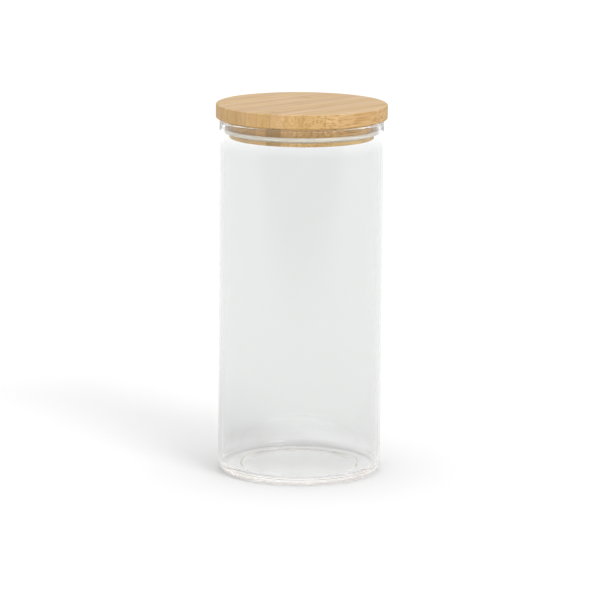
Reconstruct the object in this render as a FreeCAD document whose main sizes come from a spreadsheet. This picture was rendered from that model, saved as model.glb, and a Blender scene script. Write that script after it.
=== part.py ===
"""A lidded glass canister: a straight borosilicate glass jar, a turned bamboo lid and a soft silicone seal.

Frame: millimetres, +Z up, origin on the jar's axis at the plane that it stands on.

The jar is one piece of blown glass: a cylinder with a rounded foot, a shallow recess (the punt) under its
floor, so that it stands on a ring, and a fire-polished rim. The lid is turned from one bamboo blank that is
glued up from upright strips: a flat cap that overhangs the rim, and a plug that drops into the mouth. The
plug has a groove all round, and the seal's foot sits in it. The seal's lip reaches out to the glass.
Each bamboo strip is a piece of its own, so the lid is a row of strips that share their glued faces.
"""

import FreeCAD, Part
import os

import Sketcher

App = FreeCAD

# The driving dimensions, in millimetres and degrees. What fits to another piece is worked out from these.
SIZES = {
    "jar_diameter": (100.0, "outside of the glass"),
    "jar_height": (217.0, "standing plane to the top of the rim"),
    "wall": (2.2, "thickness of the glass wall"),
    "floor": (4.0, "thickness of the glass floor, outside the punt"),
    "heel": (5.0, "outer rounding between wall and foot"),
    "inner_corner": (3.5, "inner rounding between wall and floor"),
    "foot_width": (8.5, "width of the flat ring that the jar stands on"),
    "punt_depth": (1.2, "how far the underside is raised inside the foot ring"),
    "punt_taper": (40.0, "slope of the punt's side, from the vertical, in degrees"),
    "punt_round": (0.5, "rounding of the punt's two edges"),
    "rim_share": (0.48, "rounding of each rim edge, as a share of the wall"),
    "cap_overhang": (2.2, "how far the cap stands out past the glass, all round"),
    "cap_thickness": (8.8, "thickness of the cap"),
    "cap_round": (0.9, "rounding of the cap's two edges"),
    "plug_gap": (3.8, "gap between plug and glass, which the seal closes"),
    "plug_depth": (11.6, "how far the plug reaches below the cap"),
    "plug_round": (0.5, "rounding of the plug's lower edge"),
    "seat_gap": (1.1, "gap between rim and cap with the lid pressed home"),
    "strip_count": (13, "bamboo strips across the board, an odd number"),
    "glue_line_offset": (1.2, "plug's edge to the outermost glue line, so that no strip is a sliver"),
    "grain_angle": (45.5, "direction of the strips, from +X, in degrees"),
    "groove_rise": (2.4, "plug's lower face to the groove"),
    "groove_width": (2.4, "height of the groove"),
    "groove_depth": (2.4, "depth of the groove into the plug"),
    "seal_clearance": (0.05, "running clearance between the seal's foot and the groove"),
    "lip_clearance": (0.2, "gap between the seal's lip and the glass, so that the lid lifts freely"),
    "lip_rise": (1.3, "how far the lip climbs on its way out to the glass"),
    "lip_face": (2.2, "height of the lip's face against the glass"),
    "lip_edge": (0.7, "thickness of the lip's upturned edge"),
    "lip_root": (1.2, "thickness of the lip where it leaves the foot"),
}

# Sizes that several pieces share, as spreadsheet formulas.
MOUTH_RADIUS = "(sizes.jar_diameter / 2 - sizes.wall)"
PLUG_RADIUS = f"({MOUTH_RADIUS} - sizes.plug_gap)"
CAP_DIAMETER = "(sizes.jar_diameter + 2 * sizes.cap_overhang)"
PUNT_RADIUS = "(sizes.jar_diameter / 2 - sizes.heel - sizes.foot_width)"
PUNT_TAPER = "sizes.punt_taper * 1 deg"
LID_HEIGHT = "(sizes.plug_depth + sizes.cap_thickness)"
PLUG_BOTTOM = "(sizes.jar_height + sizes.seat_gap - sizes.plug_depth)"
GLUE_LINE = f"({PLUG_RADIUS} + sizes.glue_line_offset)"  # the outermost one, from the lid's axis
STRIP_WIDTH = f"(2 * {GLUE_LINE} / (sizes.strip_count - 2))"
GROUND = "0"

OUT_FOLDER = "parts"
TOUCH = 1e-3  # how near two lengths are to be the same one, when an edge is looked for


def make_sheet(doc):
    """The spreadsheet of driving dimensions: name, value and meaning, one row each."""
    sheet = doc.addObject("Spreadsheet::Sheet", "sizes")
    for row, (name, (value, meaning)) in enumerate(SIZES.items(), start=1):
        sheet.set(f"A{row}", name)
        sheet.set(f"B{row}", str(value))
        sheet.set(f"C{row}", meaning)
        sheet.setAlias(f"B{row}", name)
    doc.recompute()
    return sheet


def value_of(sheet, formula):
    """What a formula such as "sizes.wall / 2" comes to now."""
    found = sheet.evalExpression(formula.replace("sizes.", ""))
    return float(getattr(found, "Value", found))


def bind(thing, **formulas):
    """Binds properties to formulas. A double underscore stands for the dot in a property's path."""
    for path, formula in formulas.items():
        thing.setExpression(path.replace("__", "."), formula)


def plane_of(body, role):
    """One of a body's own origin planes, by its role."""
    return next(feature for feature in body.Origin.OriginFeatures if feature.Role == role)


def new_body(doc, label):
    body = doc.addObject("PartDesign::Body", label)
    body.Label = label
    return body


def new_sketch(body, name, role="XY_Plane", height=None):
    """A sketch on one of the body's origin planes, raised to a height if one is given."""
    sketch = body.newObject("Sketcher::SketchObject", name)
    sketch.AttachmentSupport = (plane_of(body, role), [""])
    sketch.MapMode = "FlatFace"
    if height is not None:
        bind(sketch, AttachmentOffset__Base__z=height)
    return sketch


def add_circle(sketch, diameter):
    """A circle on the sketch's origin, its diameter bound to a formula."""
    centre = App.Vector(0, 0, 0)
    index = sketch.addGeometry(Part.Circle(centre, App.Vector(0, 0, 1), 10.0), False)
    sketch.addConstraint(Sketcher.Constraint("Coincident", index, 3, -1, 1))
    size = sketch.addConstraint(Sketcher.Constraint("Diameter", index, 20.0))
    sketch.renameConstraint(size, "diameter")
    sketch.setExpression("Constraints.diameter", diameter)


def add_outline(sheet, sketch, corners):
    """A closed outline of straight lines. Each corner is a name and two formulas, for how far it lies from
    the sketch's origin along its two axes."""
    points = [
        App.Vector(value_of(sheet, across), value_of(sheet, up), 0) for _, across, up in corners
    ]
    count = len(corners)
    for index, start in enumerate(points):
        sketch.addGeometry(Part.LineSegment(start, points[(index + 1) % count]), False)
    for index in range(count):
        sketch.addConstraint(Sketcher.Constraint("Coincident", index, 2, (index + 1) % count, 1))
    for index, (name, across, up) in enumerate(corners):
        for kind, suffix, formula in (("DistanceX", "across", across), ("DistanceY", "up", up)):
            distance = Sketcher.Constraint(kind, -1, 1, index, 1, value_of(sheet, formula))
            number = sketch.addConstraint(distance)
            sketch.renameConstraint(number, f"{name}_{suffix}")
            sketch.setExpression(f"Constraints.{name}_{suffix}", formula)


def circle_edge(shape, radius, height):
    """The name of the one circular edge with this radius at this height."""
    for number, edge in enumerate(shape.Edges, start=1):
        curve = edge.Curve
        if isinstance(curve, Part.Circle):
            same_radius = abs(curve.Radius - radius) < TOUCH
            if same_radius and abs(curve.Center.z - height) < TOUCH:
                return f"Edge{number}"
    raise ValueError(f"no circle of radius {radius} at height {height}")


def round_edges(body, sheet, name, radius, circles):
    """Rounds circular edges of a body. Each circle is a radius and a height, as formulas."""
    body.Document.recompute()
    base = body.Tip
    edges = [
        circle_edge(base.Shape, value_of(sheet, across), value_of(sheet, up))
        for across, up in circles
    ]
    fillet = body.newObject("PartDesign::Fillet", name)
    fillet.Base = (base, edges)
    bind(fillet, Radius=radius)


def add_pad(body, name, sketch, length):
    pad = body.newObject("PartDesign::Pad", name)
    pad.Profile = sketch
    bind(pad, Length=length)


def make_jar(doc, sheet):
    """The glass: padded solid, bored out to the floor, rounded, and raised under the floor by the punt."""
    body = new_body(doc, "glass_jar")

    outside = new_sketch(body, "jar_outside")
    add_circle(outside, "sizes.jar_diameter")
    add_pad(body, "jar_blank", outside, "sizes.jar_height")

    inside = new_sketch(body, "jar_inside", height="sizes.jar_height")
    add_circle(inside, f"2 * {MOUTH_RADIUS}")
    hollow = body.newObject("PartDesign::Pocket", "jar_hollow")
    hollow.Profile = inside
    bind(hollow, Length="sizes.jar_height - sizes.floor")

    under = new_sketch(body, "jar_punt_outline")
    add_circle(under, f"2 * {PUNT_RADIUS}")
    punt = body.newObject("PartDesign::Pocket", "jar_punt")
    punt.Profile = under
    punt.Reversed = True
    bind(punt, Length="sizes.punt_depth", TaperAngle=f"-{PUNT_TAPER}")

    outer = "sizes.jar_diameter / 2"
    punt_top = f"{PUNT_RADIUS} - sizes.punt_depth * tan({PUNT_TAPER})"
    roundings = [
        ("jar_heel", "sizes.heel", [(outer, GROUND)]),
        ("jar_punt_edges", "sizes.punt_round", [(PUNT_RADIUS, GROUND), (punt_top, "sizes.punt_depth")]),
        ("jar_inner_corner", "sizes.inner_corner", [(MOUTH_RADIUS, "sizes.floor")]),
        (
            "jar_rim",
            "sizes.wall * sizes.rim_share",
            [(outer, "sizes.jar_height"), (MOUTH_RADIUS, "sizes.jar_height")],
        ),
    ]
    for name, radius, circles in roundings:
        round_edges(body, sheet, name, radius, circles)
    return body


def make_lid_blank(doc, sheet):
    """The turned shape of the whole lid, before it is divided into its strips. Its zero height is the plug's
    lower face. It isn't written out itself."""
    body = new_body(doc, "lid_blank")

    plug_outline = new_sketch(body, "plug_outline")
    add_circle(plug_outline, f"2 * {PLUG_RADIUS}")
    add_pad(body, "plug", plug_outline, LID_HEIGHT)

    cap_outline = new_sketch(body, "cap_outline", height="sizes.plug_depth")
    add_circle(cap_outline, CAP_DIAMETER)
    add_pad(body, "cap", cap_outline, "sizes.cap_thickness")

    groove_outline = new_sketch(body, "groove_outline", role="XZ_Plane")
    groove_top = "sizes.groove_rise + sizes.groove_width"
    add_outline(
        sheet,
        groove_outline,
        [
            ("floor_low", f"{PLUG_RADIUS} - sizes.groove_depth", "sizes.groove_rise"),
            ("mouth_low", f"{PLUG_RADIUS} + sizes.plug_gap / 2", "sizes.groove_rise"),
            ("mouth_high", f"{PLUG_RADIUS} + sizes.plug_gap / 2", groove_top),
            ("floor_high", f"{PLUG_RADIUS} - sizes.groove_depth", groove_top),
        ],
    )
    groove = body.newObject("PartDesign::Groove", "seal_groove")
    groove.Profile = groove_outline
    groove.ReferenceAxis = (groove_outline, ["V_Axis"])
    groove.Angle = 360.0

    cap_circles = [(f"{CAP_DIAMETER} / 2", height) for height in ("sizes.plug_depth", LID_HEIGHT)]
    round_edges(body, sheet, "cap_edges", "sizes.cap_round", cap_circles)
    round_edges(body, sheet, "plug_edge", "sizes.plug_round", [(PLUG_RADIUS, GROUND)])
    return body


def make_lid_strips(doc, sheet, blank):
    """The bamboo strips: what the turning leaves of each one. With an odd count, the middle strip lies
    across the lid's axis. The first and last strips are wide enough to reach past the cap's edge."""
    count = int(round(value_of(sheet, "sizes.strip_count")))
    strips = []
    for number in range(1, count + 1):
        width = STRIP_WIDTH
        side = f"{number - 2} * {STRIP_WIDTH} - {GLUE_LINE}"
        if number in (1, count):
            width = CAP_DIAMETER
        if number == 1:
            side = f"-{GLUE_LINE} - {CAP_DIAMETER}"
        uncut = doc.addObject("Part::Box", f"uncut_strip_{number:02d}")
        bind(
            uncut,
            Length=f"2 * {CAP_DIAMETER}",
            Width=width,
            Height=LID_HEIGHT,
            Placement__Base__x=f"-{CAP_DIAMETER}",
            Placement__Base__y=side,
        )
        strip = doc.addObject("Part::Common", f"lid_strip_{number:02d}")
        strip.Label = strip.Name
        strip.Base = blank
        strip.Tool = uncut
        bind(
            strip,
            Placement__Base__z=PLUG_BOTTOM,
            Placement__Rotation__Angle="sizes.grain_angle * 1 deg",
        )
        strips.append(strip)
    return strips


def make_seal(doc, sheet):
    """The silicone seal, turned about the lid's axis: a foot that fills the groove, and a lip that climbs out
    to the glass and turns up against it."""
    body = new_body(doc, "seal_ring")
    foot_low = "sizes.groove_rise + sizes.seal_clearance"
    foot_high = "sizes.groove_rise + sizes.groove_width - sizes.seal_clearance"
    foot_inside = f"{PLUG_RADIUS} - sizes.groove_depth + sizes.seal_clearance"
    lip_outside = f"{MOUTH_RADIUS} - sizes.lip_clearance"
    lip_low = f"{foot_low} + sizes.lip_rise"
    lip_high = f"{lip_low} + sizes.lip_face"
    section = new_sketch(body, "seal_section", role="XZ_Plane")
    add_outline(
        sheet,
        section,
        [
            ("foot_inner_low", foot_inside, foot_low),
            ("root_low", PLUG_RADIUS, foot_low),
            ("lip_low", lip_outside, lip_low),
            ("lip_high", lip_outside, lip_high),
            ("lip_back", f"{lip_outside} - sizes.lip_edge", lip_high),
            ("lip_crook", f"{lip_outside} - sizes.lip_edge", f"{lip_low} + sizes.lip_edge"),
            ("root_high", PLUG_RADIUS, f"{foot_low} + sizes.lip_root"),
            ("foot_outer_high", PLUG_RADIUS, foot_high),
            ("foot_inner_high", foot_inside, foot_high),
        ],
    )
    ring = body.newObject("PartDesign::Revolution", "seal_turning")
    ring.Profile = section
    ring.ReferenceAxis = (section, ["V_Axis"])
    ring.Angle = 360.0
    bind(body, Placement__Base__z=PLUG_BOTTOM)
    return body


def check_document(doc, pieces):
    """Stops if any object failed, or if a piece has no valid solid."""
    for thing in doc.Objects:
        failed = [state for state in thing.State if state in ("Invalid", "Error")]
        if failed:
            raise RuntimeError(f"{thing.Label} is {failed[0]}")
    for piece in pieces:
        shape = piece.Shape
        if shape.isNull() or not shape.isValid() or not shape.Solids:
            raise RuntimeError(f"{piece.Label} has no valid solid")


def write_pieces(pieces):
    os.makedirs(OUT_FOLDER, exist_ok=True)
    for piece in pieces:
        piece.Shape.exportStep(os.path.join(OUT_FOLDER, f"{piece.Label}.step"))
        box = piece.Shape.optimalBoundingBox(False)
        size = f"{box.XLength:.2f} x {box.YLength:.2f} x {box.ZLength:.2f}"
        print(f"{piece.Label}: {size} mm, {piece.Shape.Volume / 1000:.2f} cm3")


def main():
    doc = App.newDocument("canister")
    sheet = make_sheet(doc)
    jar = make_jar(doc, sheet)
    blank = make_lid_blank(doc, sheet)
    strips = make_lid_strips(doc, sheet, blank)
    seal = make_seal(doc, sheet)
    doc.recompute()
    pieces = [jar, seal, *strips]
    check_document(doc, pieces)
    write_pieces(pieces)


main()
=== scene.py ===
"""Looks for a lidded glass canister: a lathed clear jar, a bamboo lid of glued strips, a silicone seal.

Blender works in metres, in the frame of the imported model. Sizes that the frame can give are read from it,
and the rest are named here. A size in millimetres is multiplied by MM where Blender takes it.
"""

import math
import random

import bmesh
import bpy
from mathutils import Matrix, Vector


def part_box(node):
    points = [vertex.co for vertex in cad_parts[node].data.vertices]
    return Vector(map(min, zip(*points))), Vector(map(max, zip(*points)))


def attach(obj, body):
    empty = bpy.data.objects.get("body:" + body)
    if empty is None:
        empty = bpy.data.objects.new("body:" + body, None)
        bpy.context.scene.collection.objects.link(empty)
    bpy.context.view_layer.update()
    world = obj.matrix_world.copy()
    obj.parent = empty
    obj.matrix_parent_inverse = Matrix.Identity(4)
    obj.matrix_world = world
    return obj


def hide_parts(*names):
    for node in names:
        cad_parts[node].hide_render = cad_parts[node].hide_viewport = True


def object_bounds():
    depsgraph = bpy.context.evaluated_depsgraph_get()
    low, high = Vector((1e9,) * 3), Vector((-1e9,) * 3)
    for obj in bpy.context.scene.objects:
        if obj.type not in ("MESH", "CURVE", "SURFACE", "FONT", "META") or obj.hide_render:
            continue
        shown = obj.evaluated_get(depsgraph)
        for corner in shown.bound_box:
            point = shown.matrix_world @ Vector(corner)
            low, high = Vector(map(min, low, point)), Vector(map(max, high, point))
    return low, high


MM = 0.001
TURN = 2 * math.pi
WHITE = (1.0, 1.0, 1.0, 1.0)


# ---------------------------------------------------------------- frame

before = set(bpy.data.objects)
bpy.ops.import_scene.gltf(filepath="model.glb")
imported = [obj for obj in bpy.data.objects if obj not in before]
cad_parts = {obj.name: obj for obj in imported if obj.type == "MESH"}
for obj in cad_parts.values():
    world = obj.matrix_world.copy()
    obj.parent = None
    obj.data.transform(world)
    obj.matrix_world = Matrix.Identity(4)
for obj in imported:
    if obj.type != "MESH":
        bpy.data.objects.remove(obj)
cad_low, cad_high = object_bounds()

jar_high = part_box("glass_jar")[1]
seal_low, seal_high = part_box("seal_ring")
strip_nodes = sorted(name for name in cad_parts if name.startswith("lid_strip"))


# ---------------------------------------------------------------- sizes, in millimetres

JAR_RADIUS = jar_high.x / MM
JAR_HEIGHT = jar_high.z / MM
WALL = 2.2
RIM_ROUND = 0.48 * WALL
FLOOR = 4.0
HEEL = 5.0
INNER_CORNER = 3.5
FOOT_WIDTH = 8.5
PUNT_DEPTH = 1.2
PUNT_ROUND = 0.5
PUNT_TAPER = 40.0  # degrees from upright

PLUG_GAP = 3.8
PLUG_RADIUS = JAR_RADIUS - WALL - PLUG_GAP
CAP_THICKNESS = 8.8
PLUG_TOP = cad_high.z / MM - CAP_THICKNESS
SEAL_FOOT_DEPTH = 2.35

OUTER_GLUE_LINE = 45.2
STRIP_PITCH = 2 * OUTER_GLUE_LINE / (len(strip_nodes) - 2)
HALF_STRIP = STRIP_PITCH / 2


# ---------------------------------------------------------------- node helpers


def new_material(name):
    """A material, its node tree and the Principled shader in it."""
    material = bpy.data.materials.new(name)
    material.use_nodes = True
    return material, material.node_tree, material.node_tree.nodes["Principled BSDF"]


def set_inputs(node, **values):
    """Sets a node's inputs by name. An underscore stands for a space."""
    for name, value in values.items():
        node.inputs[name.replace("_", " ")].default_value = value


def add_node(tree, kind, links=None, settings=None, **values):
    """A node, with links as {input: output socket}, settings as attributes and values as input defaults."""
    node = tree.nodes.new(kind)
    for name, value in (settings or {}).items():
        setattr(node, name, value)
    set_inputs(node, **values)
    for name, source in (links or {}).items():
        tree.links.new(source, node.inputs[name])
    return node


def feed(tree, socket, value):
    """Links an output socket to an input, or sets the input to a number or a colour."""
    if isinstance(value, bpy.types.NodeSocket):
        tree.links.new(value, socket)
    elif isinstance(value, (int, float)):
        socket.default_value = value
    else:
        socket.default_value = (*value, 1.0)


def do_math(tree, operation, first, second=0.0, third=0.0):
    """One Math node. Each argument is a number or an output socket."""
    node = add_node(tree, "ShaderNodeMath", settings={"operation": operation})
    for index, value in enumerate((first, second, third)):
        feed(tree, node.inputs[index], value)
    return node.outputs[0]


def multiply(tree, first, second):
    return do_math(tree, "MULTIPLY", first, second)


def height_of(tree, vector):
    """A vector's Z."""
    return add_node(tree, "ShaderNodeSeparateXYZ", {"Vector": vector}).outputs["Z"]


def length_of(tree, vector):
    return add_node(tree, "ShaderNodeVectorMath", {0: vector}, {"operation": "LENGTH"}).outputs["Value"]


def reach_along(tree, vector, direction):
    """How far a vector reaches along a fixed direction."""
    node = add_node(tree, "ShaderNodeVectorMath", {0: vector}, {"operation": "DOT_PRODUCT"})
    node.inputs[1].default_value = direction
    return node.outputs["Value"]


def smooth_mask(tree, value, none_at, full_at):
    """0 at none_at and past it, 1 at full_at and past it, and smooth between. Either may be the higher."""
    node = add_node(tree, "ShaderNodeMapRange", {"Value": value}, {"interpolation_type": "SMOOTHSTEP"})
    rising = none_at < full_at
    set_inputs(
        node,
        From_Min=min(none_at, full_at),
        From_Max=max(none_at, full_at),
        To_Min=0.0 if rising else 1.0,
        To_Max=1.0 if rising else 0.0,
    )
    return node.outputs["Result"]


def mix_colours(tree, amount, first, second, blend="MIX"):
    """Mixes two colours. Each is a colour or an output socket, and the amount is a number or a socket."""
    node = add_node(tree, "ShaderNodeMix", settings={"data_type": "RGBA", "blend_type": blend})
    for index, value in ((0, amount), (6, first), (7, second)):
        feed(tree, node.inputs[index], value)
    return node.outputs[2]


def shade(tree, colour, factor):
    """A colour times a fixed factor for red, green and blue."""
    return mix_colours(tree, 1.0, colour, factor, "MULTIPLY")


def mix_numbers(tree, amount, first, second):
    """first where amount is 0 and second where it is 1. Each is a number or an output socket."""
    node = add_node(tree, "ShaderNodeMix")
    for index, value in ((0, amount), (2, first), (3, second)):
        feed(tree, node.inputs[index], value)
    return node.outputs[0]


# ---------------------------------------------------------------- mesh helpers


def arc(centre, radius, start, end, steps):
    """Points on an arc about (r, z), angles in degrees from the +r direction."""
    points = []
    for index in range(steps + 1):
        angle = math.radians(start + (end - start) * index / steps)
        points.append((centre[0] + radius * math.cos(angle), centre[1] + radius * math.sin(angle)))
    return points


def add_ring(mesh_maker, r, z, segments):
    """The circle that one point of a profile makes, or a single vertex where the point is on the axis."""
    if r < 1e-6:
        return [mesh_maker.verts.new((0.0, 0.0, z * MM))]
    ring = []
    for index in range(segments):
        angle = TURN * index / segments
        ring.append(mesh_maker.verts.new((r * MM * math.cos(angle), r * MM * math.sin(angle), z * MM)))
    return ring


def add_band(mesh_maker, low, high, segments):
    """The faces between two rings, as a fan where one of them is a single vertex."""
    for index in range(segments):
        after = (index + 1) % segments
        if len(low) == 1:
            corners = (low[0], high[after], high[index])
        elif len(high) == 1:
            corners = (low[index], low[after], high[0])
        else:
            corners = (low[index], low[after], high[after], high[index])
        mesh_maker.faces.new(corners)


def lathe(name, profile, closed, segments=256):
    """Turns a profile of (r, z) points in millimetres about Z. A closed profile is a ring's section. An open
    one starts and ends on the axis."""
    mesh_maker = bmesh.new()
    rings = [add_ring(mesh_maker, r, z, segments) for r, z in profile]
    pairs = list(zip(rings, rings[1:]))
    if closed:
        pairs.append((rings[-1], rings[0]))
    for low, high in pairs:
        add_band(mesh_maker, low, high, segments)
    bmesh.ops.recalc_face_normals(mesh_maker, faces=mesh_maker.faces)
    mesh = bpy.data.meshes.new(name)
    mesh_maker.to_mesh(mesh)
    mesh_maker.free()
    for polygon in mesh.polygons:
        polygon.use_smooth = True
    piece = bpy.data.objects.new(name, mesh)
    bpy.context.collection.objects.link(piece)
    return piece


# ---------------------------------------------------------------- camera


def make_camera():
    """Stands 2.2 m away and half a metre up, looks slightly down and is rolled by under half a degree."""
    aim = Vector((-0.0002, 0.0, 0.1054))
    place = Vector((-0.0002, -2.2, 0.5286))
    roll = 0.008
    data = bpy.data.cameras.new("camera")
    data.sensor_width = 36.0
    data.lens = 219.4
    data.clip_start = 0.05
    data.clip_end = 60.0
    camera = bpy.data.objects.new("camera", data)
    bpy.context.collection.objects.link(camera)
    turn = (aim - place).to_track_quat("-Z", "Y").to_matrix().to_4x4()
    camera.matrix_world = Matrix.Translation(place) @ turn @ Matrix.Rotation(roll, 4, "Z")
    bpy.context.scene.camera = camera


# ---------------------------------------------------------------- stage


def floor_material():
    """White round the object and greyer from 0.4 m in front of it, for the glass to mirror. A faint glow
    under the jar stands for the light that the glass gathers there."""
    grey, white = (0.55, 0.55, 0.55), (0.9, 0.9, 0.9)
    grey_up_to, white_from = -0.9, -0.4
    glow_strength = 0.45
    material, tree, shader = new_material("floor_paint")
    place = add_node(tree, "ShaderNodeTexCoord").outputs["Object"]
    front_to_back = add_node(tree, "ShaderNodeSeparateXYZ", {"Vector": place}).outputs["Y"]
    near_or_behind = smooth_mask(tree, front_to_back, grey_up_to, white_from)
    glow = smooth_mask(tree, length_of(tree, place), (JAR_RADIUS - 1.0) * MM, (JAR_RADIUS - 6.0) * MM)
    tree.links.new(mix_colours(tree, near_or_behind, grey, white), shader.inputs["Base Color"])
    tree.links.new(multiply(tree, glow, glow_strength), shader.inputs["Emission Strength"])
    set_inputs(shader, Roughness=0.9, Specular_IOR_Level=0.0, Emission_Color=WHITE)
    return material


def make_floor():
    """A plain pale floor, 60 m across and just clear of the jar's foot."""
    half_size = 30.0
    height = -0.2 * MM
    signs = ((-1, -1), (1, -1), (1, 1), (-1, 1))
    mesh = bpy.data.meshes.new("floor")
    mesh.from_pydata([(x * half_size, y * half_size, height) for x, y in signs], [], [(0, 1, 2, 3)])
    mesh.materials.append(floor_material())
    floor = bpy.data.objects.new("floor", mesh)
    bpy.context.collection.objects.link(floor)


def make_world():
    """A white surround, brighter in front and low down, as a wide softbox behind the camera makes it."""
    front_fill = 2.2
    world = bpy.data.worlds.new("studio")
    bpy.context.scene.world = world
    world.use_nodes = True
    tree = world.node_tree
    direction = add_node(tree, "ShaderNodeTexCoord").outputs["Generated"]
    parts = add_node(tree, "ShaderNodeSeparateXYZ", {"Vector": direction})
    in_front = smooth_mask(tree, parts.outputs["Y"], -0.3, -1.0)
    low_down = smooth_mask(tree, parts.outputs["Z"], 0.4, 0.1)
    fill = multiply(tree, in_front, low_down)
    strength = do_math(tree, "MULTIPLY_ADD", fill, front_fill, 1.0)
    background = tree.nodes["Background"]
    tree.links.new(strength, background.inputs["Strength"])
    set_inputs(background, Color=WHITE)


def make_key():
    """A far, round, soft light from the right-hand front."""
    turn, rise, spread = math.radians(36.0), math.radians(32.0), math.radians(28.0)
    data = bpy.data.lights.new("key", "SUN")
    data.energy = 1.05
    data.angle = spread
    sun = bpy.data.objects.new("key", data)
    bpy.context.collection.objects.link(sun)
    towards = Vector((math.cos(rise) * math.sin(turn), -math.cos(rise) * math.cos(turn), math.sin(rise)))
    sun.rotation_mode = "QUATERNION"
    sun.rotation_quaternion = towards.to_track_quat("Z", "Y")


def let_light_run_through_glass():
    """The wall carries light from the foot up to the rim in hundreds of mirrorings. A path that is cut short
    on the way shows as a black line."""
    paths = bpy.context.scene.cycles
    paths.max_bounces = 256
    paths.glossy_bounces = 256
    paths.transmission_bounces = 64


# ---------------------------------------------------------------- glass jar

# Rings that divide the flat and straight stretches into well-shaped faces.
PUNT_RINGS = (6.0, 14.0, 22.0, 29.0)
FLOOR_RINGS = (36.0, 27.0, 18.0, 9.0)
WALL_RINGS = (0.03, 0.2, 0.4, 0.6, 0.8, 0.97)  # shares of the straight wall's height


def underside_profile():
    """From the middle of the punt out to the middle of the foot ring, which the jar stands on."""
    punt = JAR_RADIUS - HEEL - FOOT_WIDTH
    taper = PUNT_DEPTH * math.tan(math.radians(PUNT_TAPER))
    slope = 90.0 - PUNT_TAPER
    set_back = PUNT_ROUND * math.tan(math.radians(slope / 2))
    mid_foot = punt + 3.5
    points = [(r, PUNT_DEPTH) for r in (0.0, *PUNT_RINGS)]
    points += arc((punt - taper - set_back, PUNT_DEPTH - PUNT_ROUND), PUNT_ROUND, 90.0, 90.0 - slope, 6)
    points += arc((punt + set_back, PUNT_ROUND), PUNT_ROUND, 270.0 - slope, 270.0, 6)
    points += [(mid_foot, 0.0)]
    return points


def outside_profile():
    """Round the heel and up the outside to the top of the rim."""
    straight = JAR_HEIGHT - HEEL - RIM_ROUND
    points = arc((JAR_RADIUS - HEEL, HEEL), HEEL, -90.0, 0.0, 18)
    points += [(JAR_RADIUS, HEEL + straight * share) for share in WALL_RINGS]
    points += arc((JAR_RADIUS - RIM_ROUND, JAR_HEIGHT - RIM_ROUND), RIM_ROUND, 0.0, 90.0, 8)
    return points


def inside_profile():
    """From the top of the rim down the inside to the middle of the floor."""
    inside = JAR_RADIUS - WALL
    base = FLOOR + INNER_CORNER
    straight = JAR_HEIGHT - base - RIM_ROUND
    points = arc((inside + RIM_ROUND, JAR_HEIGHT - RIM_ROUND), RIM_ROUND, 90.0, 180.0, 8)
    points += [(inside, base + straight * share) for share in reversed(WALL_RINGS)]
    points += arc((inside - INNER_CORNER, base), INNER_CORNER, 0.0, -90.0, 16)
    points += [(r, FLOOR) for r in (*FLOOR_RINGS, 0.0)]
    return points


def glass_material():
    """Clear glass. A grey on the outer surface, between the foot and the mouth, stands for the darker studio
    that the real glass mirrors, in a scene that is white all round."""
    clear, grey = (0.995, 0.997, 0.995), (0.74, 0.75, 0.744)
    mid_wall = JAR_RADIUS - WALL / 2
    material, tree, shader = new_material("clear_glass")
    place = add_node(tree, "ShaderNodeTexCoord").outputs["Object"]
    height = height_of(tree, place)
    above_foot = smooth_mask(tree, height, 4.0 * MM, 16.0 * MM)
    below_mouth = smooth_mask(tree, height, (JAR_HEIGHT - 6.0) * MM, (JAR_HEIGHT - 18.0) * MM)
    level = add_node(tree, "ShaderNodeVectorMath", {0: place}, {"operation": "MULTIPLY"})
    level.inputs[1].default_value = (1.0, 1.0, 0.0)
    radius = length_of(tree, level.outputs["Vector"])
    outside = smooth_mask(tree, radius, (mid_wall - 0.2) * MM, (mid_wall + 0.2) * MM)
    greyed = multiply(tree, multiply(tree, above_foot, below_mouth), outside)
    tree.links.new(mix_colours(tree, greyed, clear, grey), shader.inputs["Base Color"])
    set_inputs(shader, Roughness=0.0, IOR=1.47, Transmission_Weight=1.0)
    return material


def make_jar():
    profile = underside_profile() + outside_profile() + inside_profile()
    jar = lathe("jar_glass", profile, closed=False)
    jar.data.materials.append(glass_material())
    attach(jar, "jar")
    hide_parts("glass_jar")


# ---------------------------------------------------------------- seal


def seal_profile():
    """The seal's section: a foot in the groove, and a lip that climbs to the glass and turns up beside it."""
    outside, low, high = seal_high.x / MM, seal_low.z / MM, seal_high.z / MM
    plug = PLUG_RADIUS
    foot = plug - SEAL_FOOT_DEPTH
    points = [(foot, low + 0.2), (foot + 0.2, low), (plug, low)]
    points += [(plug + 1.2, low + 0.35), (outside - 0.5, low + 1.1)]
    points += arc((outside - 0.4, low + 1.6), 0.4, -60.0, 0.0, 4)
    points += arc((outside - 0.35, high - 0.35), 0.35, 0.0, 180.0, 8)
    points += [(outside - 0.75, low + 2.3), (outside - 1.3, low + 1.75), (plug + 0.6, low + 1.35)]
    points += [(plug, low + 1.5), (plug - 0.1, low + 2.1), (plug - 0.3, low + 2.3), (foot + 0.2, low + 2.3)]
    points += [(foot, low + 2.1)]
    return points


def silicone_material():
    """Milky, slightly warm silicone with a satin surface."""
    material, _, shader = new_material("silicone")
    set_inputs(
        shader,
        Base_Color=(0.87, 0.82, 0.70, 1.0),
        Roughness=0.42,
        IOR=1.41,
        Subsurface_Weight=0.35,
        Subsurface_Radius=(1.0, 0.9, 0.75),
        Subsurface_Scale=2.0 * MM,
    )
    return material


def make_seal():
    seal = lathe("seal_lip", seal_profile(), closed=True)
    seal.data.materials.append(silicone_material())
    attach(seal, "seal")
    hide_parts("seal_ring")


# ---------------------------------------------------------------- bamboo

GRAIN_ANGLE = math.radians(45.5)
ALONG_GRAIN = (math.cos(GRAIN_ANGLE), math.sin(GRAIN_ANGLE), 0.0)
ACROSS_GRAIN = (-math.sin(GRAIN_ANGLE), math.cos(GRAIN_ANGLE), 0.0)

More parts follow.
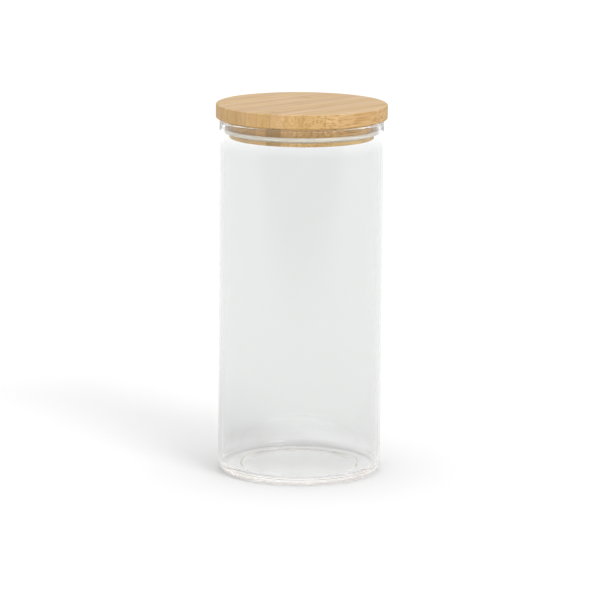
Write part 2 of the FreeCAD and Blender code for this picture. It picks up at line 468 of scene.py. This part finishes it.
TONE_SEED = 227
BAMBOO_JOINTS = {5: -40.5, 9: 21.0}  # strip number: place along the grain, in millimetres
GLUE_WIDTH = 0.4  # on each strip, in millimetres

# How often the grain repeats per metre, along the fibres, across them and up.
BUNDLE_REPEATS = (45.0, 700.0, 700.0)
STREAK_REPEATS = (18.0, 420.0, 160.0)
FIBRE_REPEATS = (18.0, 1500.0, 1500.0)

PALE = (0.635, 0.45, 0.262)
DOT_BROWN = (0.38, 0.225, 0.085)
STREAK_BROWN = (0.44, 0.265, 0.115)
FIBRE_BROWN = (0.42, 0.265, 0.115)
DENSE_BROWN = (0.44, 0.27, 0.115)
JOINT_BROWN = (0.27, 0.165, 0.075)
GLUE_BROWN = (0.33, 0.2, 0.085)
# Painted shade and painted light, as factors on a strip's colour: the cap's rim is darkened, and the plug's
# side is lightened to make up for the cap's shadow.
RIM_PAINTED_SHADE = (0.85, 0.79, 0.64)
PLUG_PAINTED_LIGHT = (1.40, 1.33, 0.98)  # lighter, as the cap's shadow falls on the plug

# How strongly each mark covers the colour under it, from 0 to 1.
DOTS_ON_END_GRAIN = 0.25
DOTS_ON_SLANTING_CUT = 0.85
DOTS_ON_TOP = 0.35
STREAK_STRENGTH = 0.42
FIBRE_STRENGTH = 0.30
DENSE_STRENGTH = 0.3
JOINT_ON_SIDE = 0.5
JOINT_ON_TOP = 0.22
GLUE_STRENGTH = 0.45


def strip_tone(number):
    """A strip's own pale colour, and the side of it, -1 or 1, where the bamboo is denser."""
    draw = random.Random(TONE_SEED + number)
    pale = Vector(PALE) * (1.0 + draw.uniform(-0.1, 0.06))
    pale.z *= 1.0 + draw.uniform(-0.14, 0.08)
    return pale, draw.choice((-1, 1))


def grain_coordinates(tree, place, number):
    """Coordinates with X along the fibres, shifted from strip to strip so that no two look alike."""
    shift = 0.37 * number
    turned = add_node(
        tree,
        "ShaderNodeMapping",
        {"Vector": place},
        Rotation=(0.0, 0.0, -GRAIN_ANGLE),
        Location=(shift, 0.0, 0.0),
    )
    return turned.outputs["Vector"]


def stretched(tree, grain, repeats):
    """Grain coordinates scaled to so many repeats per metre."""
    return add_node(tree, "ShaderNodeMapping", {"Vector": grain}, Scale=repeats).outputs["Vector"]


def grain_noise(tree, grain, repeats, roughness):
    """Soft noise drawn out along the fibres."""
    at = stretched(tree, grain, repeats)
    noise = add_node(tree, "ShaderNodeTexNoise", {"Vector": at}, Scale=1.0, Detail=2.0, Roughness=roughness)
    return noise.outputs["Fac"]


def lay_over(tree, colour, mask, strength, mark):
    """Lays a mark's colour over another, at most at its strength."""
    return mix_colours(tree, multiply(tree, mask, strength), colour, mark)


def add_bundles(tree, colour, grain, normal, upward):
    """Fibre bundles, which show as dots on end grain and as dashes on long grain. They are plainest on a
    slanting cut."""
    at = stretched(tree, grain, BUNDLE_REPEATS)
    bundles = add_node(tree, "ShaderNodeTexVoronoi", {"Vector": at}, Scale=1.0, Randomness=0.85)
    dots = smooth_mask(tree, bundles.outputs["Distance"], 0.62, 0.12)
    end_on = do_math(tree, "ABSOLUTE", reach_along(tree, normal, ALONG_GRAIN))
    slanting = smooth_mask(tree, end_on, 0.92, 0.62)
    on_side = mix_numbers(tree, slanting, DOTS_ON_END_GRAIN, DOTS_ON_SLANTING_CUT)
    strength = mix_numbers(tree, upward, on_side, DOTS_ON_TOP)
    return lay_over(tree, colour, dots, strength, DOT_BROWN)


def add_streaks(tree, colour, grain):
    """Broad soft streaks along the strip."""
    streaks = grain_noise(tree, grain, STREAK_REPEATS, roughness=0.5)
    return lay_over(tree, colour, smooth_mask(tree, streaks, 0.45, 0.75), STREAK_STRENGTH, STREAK_BROWN)


def add_fibres(tree, colour, fibres):
    """Fine lines along the strip."""
    return lay_over(tree, colour, smooth_mask(tree, fibres, 0.38, 0.68), FIBRE_STRENGTH, FIBRE_BROWN)


def add_bamboo_joint(tree, colour, place, upward, at):
    """The dark band where the bamboo's stem had a joint, weaker on top of the lid."""
    off_joint = do_math(tree, "SUBTRACT", reach_along(tree, place, ALONG_GRAIN), at * MM)
    near = smooth_mask(tree, do_math(tree, "ABSOLUTE", off_joint), 3.4 * MM, 1.6 * MM)
    strength = mix_numbers(tree, upward, JOINT_ON_SIDE, JOINT_ON_TOP)
    return lay_over(tree, colour, near, strength, JOINT_BROWN)


def add_strip_edges(tree, colour, place, number, dense_side):
    """One side of the strip is denser, and a thin glue line runs along both."""
    middle = (number - (len(strip_nodes) + 1) / 2) * STRIP_PITCH
    off_middle = do_math(tree, "SUBTRACT", reach_along(tree, place, ACROSS_GRAIN), middle * MM)
    dense_edge = dense_side * HALF_STRIP * MM
    dense = smooth_mask(tree, off_middle, -dense_edge, dense_edge)
    colour = lay_over(tree, colour, dense, DENSE_STRENGTH, DENSE_BROWN)
    from_middle = do_math(tree, "ABSOLUTE", off_middle)
    glue = smooth_mask(tree, from_middle, (HALF_STRIP - GLUE_WIDTH) * MM, HALF_STRIP * MM)
    return lay_over(tree, colour, glue, GLUE_STRENGTH, GLUE_BROWN)


def paint_side_shade_and_light(tree, colour, place, upward):
    """The top keeps its colour, the cap's rim is darker with painted shade and the plug's side is lighter
    with painted light.
    """
    blend = 0.4
    on_plug = smooth_mask(tree, height_of(tree, place), (PLUG_TOP + blend) * MM, (PLUG_TOP - blend) * MM)
    side = mix_colours(tree, on_plug, shade(tree, colour, RIM_PAINTED_SHADE), shade(tree, colour, PLUG_PAINTED_LIGHT))
    return mix_colours(tree, upward, side, colour)


def bamboo_material(name, number):
    """Bamboo for one strip, with the fibres along the strip. Each mark is laid over the colour under it."""
    material, tree, shader = new_material(name)
    coords = add_node(tree, "ShaderNodeTexCoord")
    place, normal = coords.outputs["Object"], coords.outputs["Normal"]
    grain = grain_coordinates(tree, place, number)
    upward = smooth_mask(tree, height_of(tree, normal), 0.3, 0.9)
    fibres = grain_noise(tree, grain, FIBRE_REPEATS, roughness=0.6)

    colour, dense_side = strip_tone(number)
    colour = add_bundles(tree, colour, grain, normal, upward)
    colour = add_streaks(tree, colour, grain)
    colour = add_fibres(tree, colour, fibres)
    if number in BAMBOO_JOINTS:
        colour = add_bamboo_joint(tree, colour, place, upward, BAMBOO_JOINTS[number])
    colour = add_strip_edges(tree, colour, place, number, dense_side)
    # Painted shade on the cap's rim and painted light on the plug's side.
    colour = paint_side_shade_and_light(tree, colour, place, upward)

    bump = add_node(tree, "ShaderNodeBump", {"Height": fibres}, Strength=0.12, Distance=0.2 * MM)
    tree.links.new(colour, shader.inputs["Base Color"])
    tree.links.new(bump.outputs["Normal"], shader.inputs["Normal"])
    set_inputs(shader, Roughness=0.58, Specular_IOR_Level=0.25)
    return material


def dress_lid():
    """The lid's strips keep their CAD shape, and each gets bamboo of its own."""
    for number, node in enumerate(strip_nodes, start=1):
        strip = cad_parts[node]
        strip.data.materials.clear()
        strip.data.materials.append(bamboo_material(f"bamboo_{number:02d}", number))


# ---------------------------------------------------------------- run

make_camera()
make_floor()
make_world()
make_key()
make_jar()
make_seal()
dress_lid()
bpy.context.scene.view_settings.view_transform = "Standard"
let_light_run_through_glass()
